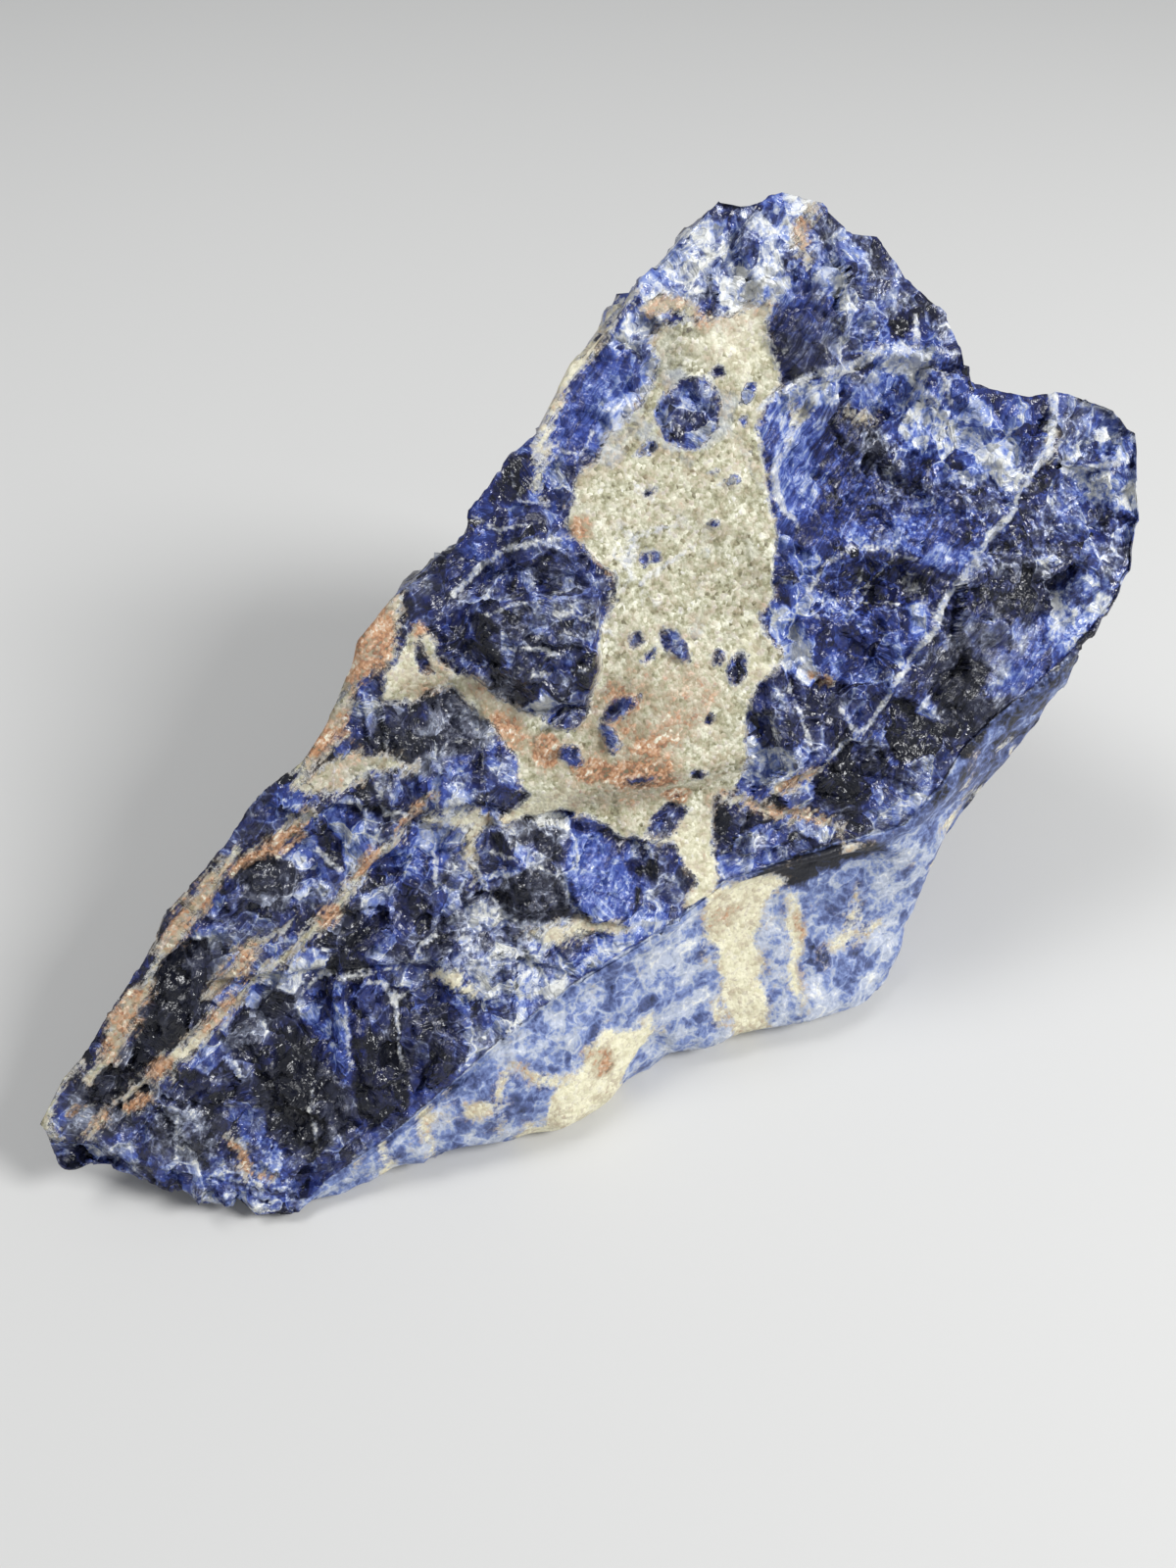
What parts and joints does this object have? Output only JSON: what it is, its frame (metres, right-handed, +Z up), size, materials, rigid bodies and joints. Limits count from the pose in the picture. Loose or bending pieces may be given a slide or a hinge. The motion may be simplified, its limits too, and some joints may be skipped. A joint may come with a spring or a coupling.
{
  "type": "rough sodalite",
  "caption": "Broken chunk of blue sodalite with a granular cream vein, leaning its fracture face forward and resting on a small flat spot",
  "frame": {"origin": "middle of the bounding box, on the surface the stone rests on", "axes": "+X along the stone's longest extent, from the thin left tip to the right end; +Y away from the fracture face; +Z up"},
  "size_m": [0.1614, 0.0902, 0.0979],
  "materials": {
    "sodalite": "vitreous on cleaved crystals, dull on the vein"
  },
  "bodies": {
    "root": {"sodalite": "sodalite"}
  },
  "joints": []
}
